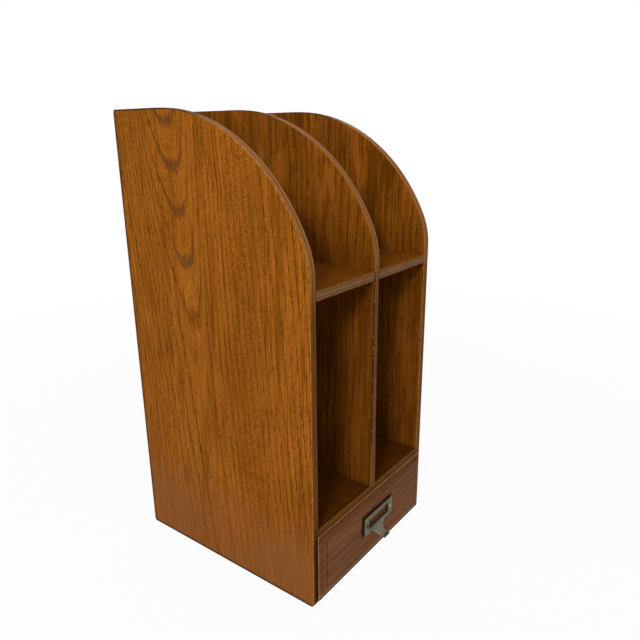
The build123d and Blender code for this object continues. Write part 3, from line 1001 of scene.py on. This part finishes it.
# ---------------------------------------------------------------- metal
@dataclass(frozen=True)
class PatinatedBrass:
    """Pressed brass gone grey-green, rubbed where fingers pull it, with painted shade and a painted glint.
    """

    patina: Colour = (0.052, 0.050, 0.023)
    deep: Colour = (0.019, 0.022, 0.011)
    bare: Colour = (0.420, 0.380, 0.280)
    # Painted shade on the frame's sides and top, and under the tip of the pull
    painted_shade: Colour = (0.014, 0.009, 0.004)
    shine: float = 0.08
    foot: float = 38.6  # foot of the card frame, where the pull begins
    pull: Step = (0.3, 1.5)  # millimetres below the foot over which the pull sets in
    cloud: Speckle = Speckle(0.22, 4.0, 0.6)
    cloud_dark: Step = (0.38, 0.62)
    cloud_share: float = 0.7
    speck: Speckle = Speckle(1.4, 3.0, 0.7)
    speck_dark: Step = (0.50, 0.62)
    speck_share: float = 0.5
    proud: Step = (0.52, 0.60)  # pointiness of worn edges
    proud_share: float = 0.40
    speck_worn: Step = (0.56, 0.72)
    speck_worn_share: float = 0.14
    edge: Step = (0.35, 0.75)  # how far a face looks aside
    # Edges of the pull: rubbed by fingers, with a painted highlight
    edge_worn_and_lit: float = 0.9
    glint_end: Step = (-15.0, 15.0)  # places across the front over which the painted glint sets in
    # Faces looking up, which take painted shade on the frame
    upward: Step = (0.5, 0.8)
    tip: Step = (3.8, 2.0)  # millimetres behind the tip of the pull
    tip_shade: float = 0.75
    metallic: Share = (0.4, 0.05)
    roughness: Share = (0.25, 0.36)
    bump: float = 0.00006

    def material(self, name: str, painted_glint: float, painted_shade_share: float) -> bpy.types.Material:
        """Build the material.

        Args:
            name: the material's name.
            painted_glint: share of painted glint at the right-hand end.
            painted_shade_share: share of painted shade on the sides, the top and the tip.

        Returns:
            The material.
        """
        recipe = Recipe.named(name)
        x, y, z = recipe.place()
        cloud = self.cloud.over(recipe, (x, z, y))
        speck = self.speck.over(recipe, (x, z, y))
        proud = recipe.add("ShaderNodeNewGeometry", output="Pointiness")
        face_x, _, face_z = recipe.facing()
        on_pull = z.rise(*(self.foot - below for below in self.pull))
        edge = abs(face_x).rise(*self.edge)
        worn = proud.rise(*self.proud) * self.proud_share
        worn = worn + speck.rise(*self.speck_worn) * self.speck_worn_share
        # Painted highlight on the edges of the pull, over wear
        worn = worn + edge * on_pull * self.edge_worn_and_lit
        # Painted glint towards the right-hand end
        worn = worn + x.rise(*self.glint_end) * painted_glint
        dull = cloud.rise(*self.cloud_dark) * self.cloud_share
        dull = dull + speck.rise(*self.speck_dark) * self.speck_share
        colour = recipe.mix(dull, self.patina, self.deep)
        colour = recipe.mix(worn, colour, self.bare)
        # Painted shade on the frame's sides and top, and under the tip of the pull
        rim = edge.most(face_z.rise(*self.upward)) * (1.0 - on_pull)
        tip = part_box("label_pull")[0].y * MM_PER_M
        at_tip = y.rise(*(tip + behind for behind in self.tip)) * on_pull * self.tip_shade
        colour = recipe.mix(rim.most(at_tip) * painted_shade_share, colour, self.painted_shade)
        return recipe.surface(
            Base_Color=colour,
            Metallic=worn.share(*self.metallic),
            Roughness=cloud.share(*self.roughness),
            Specular_Ior_Level=self.shine,
            Normal=recipe.bump(speck, self.bump),
        )


@dataclass(frozen=True)
class DullSteel:
    """Heads of small nails, browned by the stain that was brushed over them."""

    steel: Colour = (0.040, 0.028, 0.020)
    rust: Colour = (0.020, 0.010, 0.005)
    shine: float = 0.10
    spots: Speckle = Speckle(0.9, 3.0, 0.6)
    rusty: Step = (0.4, 0.6)
    clean: Step = (0.62, 0.45)
    metal_share: float = 0.5
    roughness: Share = (0.3, 0.45)

    def material(self) -> bpy.types.Material:
        """Build the material of the nails."""
        recipe = Recipe.named("dull_steel")
        spots = self.spots.over(recipe, recipe.place())
        return recipe.surface(
            Base_Color=recipe.mix(spots.rise(*self.rusty), self.steel, self.rust),
            Metallic=spots.rise(*self.clean) * self.metal_share,
            Roughness=spots.share(*self.roughness),
            Specular_Ior_Level=self.shine,
        )


# ---------------------------------------------------------------- the sorter
def dress(node: str, material: bpy.types.Material) -> None:
    """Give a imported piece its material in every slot.

    Args:
        node: the piece.
        material: what it is made of.
    """
    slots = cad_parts[node].data.materials
    for index in range(max(1, len(slots))):
        if index < len(slots):
            slots[index] = material
        else:
            slots.append(material)
    log.info("dressed %s in %s", node, material.name)


@dataclass
class Carcase:
    """Sides, divider, boards and back, with the nails that hold them."""

    oak: OakPlywood = OakPlywood()
    steel: DullSteel = DullSteel()
    nails: tuple[str, ...] = ("left_side_pins", "right_side_pins", "divider_pins", "back_pins")
    boards: list[Board] = field(
        default_factory=lambda: [
            Board("left_side", Axis.X, Axis.Z, Figure.CATHEDRAL, 1.3, 0.34, 0.8, tan=0.10, outside=-1.0),
            Board("right_side", Axis.X, Axis.Z, Figure.STRAIGHT, 41.7, 0.34, 0.3, tan=0.45, outside=1.0),
            Board("divider", Axis.X, Axis.Z, Figure.STRAIGHT, 77.1, 0.34, 0.2, tan=0.55, flaked=True),
            Board("back_panel", Axis.Y, Axis.Z, Figure.STRAIGHT, 19.6, 0.45, 0.3, outside=1.0),
            Board("left_shelf", Axis.Z, Axis.X, Figure.STRAIGHT, 53.2, 0.52, 0.0, tan=0.9, ply_pitch=2.7),
            Board("right_shelf", Axis.Z, Axis.X, Figure.STRAIGHT, 64.8, 0.48, 0.0, tan=0.9, ply_pitch=2.7),
            Board("deck", Axis.Z, Axis.X, Figure.STRAIGHT, 35.5, 0.66, 0.0, 0.1, ply_pitch=2.7, shade=0.4),
            Board("bottom_board", Axis.Z, Axis.X, Figure.STRAIGHT, 88.4, 0.25, 0.0),
        ]
    )

    def build(self) -> None:
        """Dress every board and nail of the carcase."""
        for board in self.boards:
            dress(board.node, self.oak.material(board))
        steel = self.steel.material()
        for node in self.nails:
            dress(node, steel)


@dataclass
class Drawer:
    """Drawer box, its front, and the card frame with the pull."""

    front: FrontWood = FrontWood()
    box: BareWood = BareWood()
    brass: PatinatedBrass = PatinatedBrass()
    steel: DullSteel = DullSteel()
    box_pieces: dict[str, tuple[Axis, float]] = field(
        default_factory=lambda: {
            "drawer_left_side": (Axis.Y, 5.0),
            "drawer_right_side": (Axis.Y, 15.0),
            "drawer_back": (Axis.X, 25.0),
            "drawer_bottom": (Axis.X, 35.0),
        }
    )

    def build(self) -> None:
        """Dress every piece of the drawer."""
        dress("drawer_front", self.front.material())
        for node, (along, seed) in self.box_pieces.items():
            dress(node, self.box.material(node, along, seed))
        dress("label_pull", self.brass.material("patinated_brass", painted_glint=0.0, painted_shade_share=0.9))
        # The right-hand pin carries a painted glint
        dress("pull_pins", self.brass.material("rubbed_brass_with_painted_glint", painted_glint=0.65, painted_shade_share=0.0))
        steel = self.steel.material()
        for node in ("drawer_side_pins", "drawer_bottom_pins"):
            dress(node, steel)


# ---------------------------------------------------------------- studio
@dataclass(frozen=True)
class Softbox:
    """One square area lamp."""

    name: str
    towards: tuple[float, float, float]  # direction from the sorter to the lamp
    distance: float
    size: float
    power: float
    colour: Colour = (1.0, 1.0, 1.0)


@dataclass
class Studio:
    """White room: camera, floor, world and lamps."""

    position: tuple[float, float, float] = (-0.50033, -0.43033, 0.46115)
    yaw: float = -0.9255
    pitch: float = -0.3018
    roll: float = -0.0088
    lens: float = 33.886
    sensor: float = 36.0
    aim: tuple[float, float, float] = (0.0, 0.0, 0.24)
    floor_half: float = 6.0
    floor_drop: float = 0.0004
    clip_start: float = 0.01
    ambient: Colour = (0.36, 0.36, 0.36)
    paper: Colour = (0.80, 0.80, 0.80)
    white: Colour = (1.0, 1.0, 1.0)
    glow: float = 0.94  # share of plain white in what the camera sees of the floor
    fade_from: float = 350.0  # millimetres from the sorter to where the floor starts to turn white
    fade_to: float = 1500.0
    lamps: tuple[Softbox, ...] = (
        Softbox("key", (-1.0, -0.43, 0.61), 1.9, 0.30, 14.5),
        Softbox("fill", (-0.9, -0.75, 0.9), 2.6, 2.2, 5.0),
        Softbox("side", (-1.0, 0.35, 0.25), 2.6, 2.4, 12.5),
        Softbox("top", (-0.25, -0.1, 1.0), 2.2, 1.6, 12.0),
        Softbox("back", (1.0, 0.55, 0.35), 2.6, 2.2, 9.0),
    )

    def camera(self) -> None:
        """Put the camera where the photograph was taken from."""
        cos_yaw, sin_yaw = math.cos(self.yaw), math.sin(self.yaw)
        level_right = Vector((cos_yaw, sin_yaw, 0.0))
        level_ahead = Vector((-sin_yaw, cos_yaw, 0.0))
        up = Vector((0.0, 0.0, 1.0))
        ahead = level_ahead * math.cos(self.pitch) + up * math.sin(self.pitch)
        tipped_up = up * math.cos(self.pitch) - level_ahead * math.sin(self.pitch)
        right = level_right * math.cos(self.roll) + tipped_up * math.sin(self.roll)
        above = tipped_up * math.cos(self.roll) - level_right * math.sin(self.roll)
        data = bpy.data.cameras.new("camera")
        data.sensor_fit = "HORIZONTAL"
        data.sensor_width = self.sensor
        data.lens = self.lens
        data.clip_start = self.clip_start
        camera = bpy.data.objects.new("camera", data)
        turn = Matrix((right, above, -ahead)).transposed().to_4x4()
        camera.matrix_world = Matrix.Translation(self.position) @ turn
        bpy.context.scene.collection.objects.link(camera)
        bpy.context.scene.camera = camera

    @staticmethod
    def _seen(recipe: Recipe) -> Value:
        """1 for what the camera, a reflection or a clear piece shows, and 0 for light."""
        path = recipe.add("ShaderNodeLightPath", output="Is Camera Ray")
        return path.most(path.other("Is Glossy Ray")).most(path.other("Is Transmission Ray"))

    def floor(self) -> None:
        """Lay a pale floor that keeps the sorter's shadow."""
        half = self.floor_half
        plan = ((-half, -half), (half, -half), (half, half), (-half, half))
        corners = [(x, y, -self.floor_drop) for x, y in plan]
        mesh = bpy.data.meshes.new("floor")
        mesh.from_pydata(corners, [], [(0, 1, 2, 3)])
        floor = bpy.data.objects.new("floor", mesh)
        bpy.context.scene.collection.objects.link(floor)
        recipe = Recipe.named("floor_paper")
        lit = recipe.add("ShaderNodeBsdfDiffuse", inputs={"Color": self.paper})
        white = recipe.add("ShaderNodeEmission", inputs={"Color": self.white, "Strength": 1.0})
        x, y, _ = recipe.place()
        away = ((x * x + y * y) ** 0.5).rise(self.fade_from, self.fade_to)
        share = self._seen(recipe) * (self.glow + away * (1.0 - self.glow))
        blend = recipe.add("ShaderNodeMixShader", inputs={0: share, 1: lit, 2: white})
        mesh.materials.append(recipe.finish(blend))

    def world(self) -> None:
        """Surround the sorter with even light, and show it as white."""
        world = bpy.data.worlds.new("white_room")
        bpy.context.scene.world = world
        recipe = Recipe(world)
        colour = recipe.mix(self._seen(recipe), self.ambient, self.white)
        light = recipe.add("ShaderNodeBackground", inputs={"Color": colour, "Strength": 1.0})
        recipe.add("ShaderNodeOutputWorld", inputs={"Surface": light})

    def lamp(self, box: Softbox) -> None:
        """Hang one softbox.

        Args:
            box: the lamp.
        """
        data = bpy.data.lights.new(box.name, "AREA")
        data.shape = "SQUARE"
        data.size = box.size
        data.energy = box.power
        data.color = box.colour
        lamp = bpy.data.objects.new(box.name, data)
        direction = Vector(box.towards).normalized()
        lamp.location = Vector(self.aim) + direction * box.distance
        lamp.rotation_euler = direction.to_track_quat("Z", "Y").to_euler()
        bpy.context.scene.collection.objects.link(lamp)

    def build(self) -> None:
        """Set up the whole room."""
        self.camera()
        self.floor()
        self.world()
        for box in self.lamps:
            self.lamp(box)
        bpy.context.scene.view_settings.view_transform = "Standard"
        log.info("studio ready with %d lamps", len(self.lamps))


def main() -> None:
    """Dress the sorter part by part and light it."""
    logging.basicConfig(level=logging.INFO, format="%(name)s: %(message)s")
    for part in (Carcase(), Drawer(), Studio()):
        part.build()


if __name__ == "__main__":
    main()
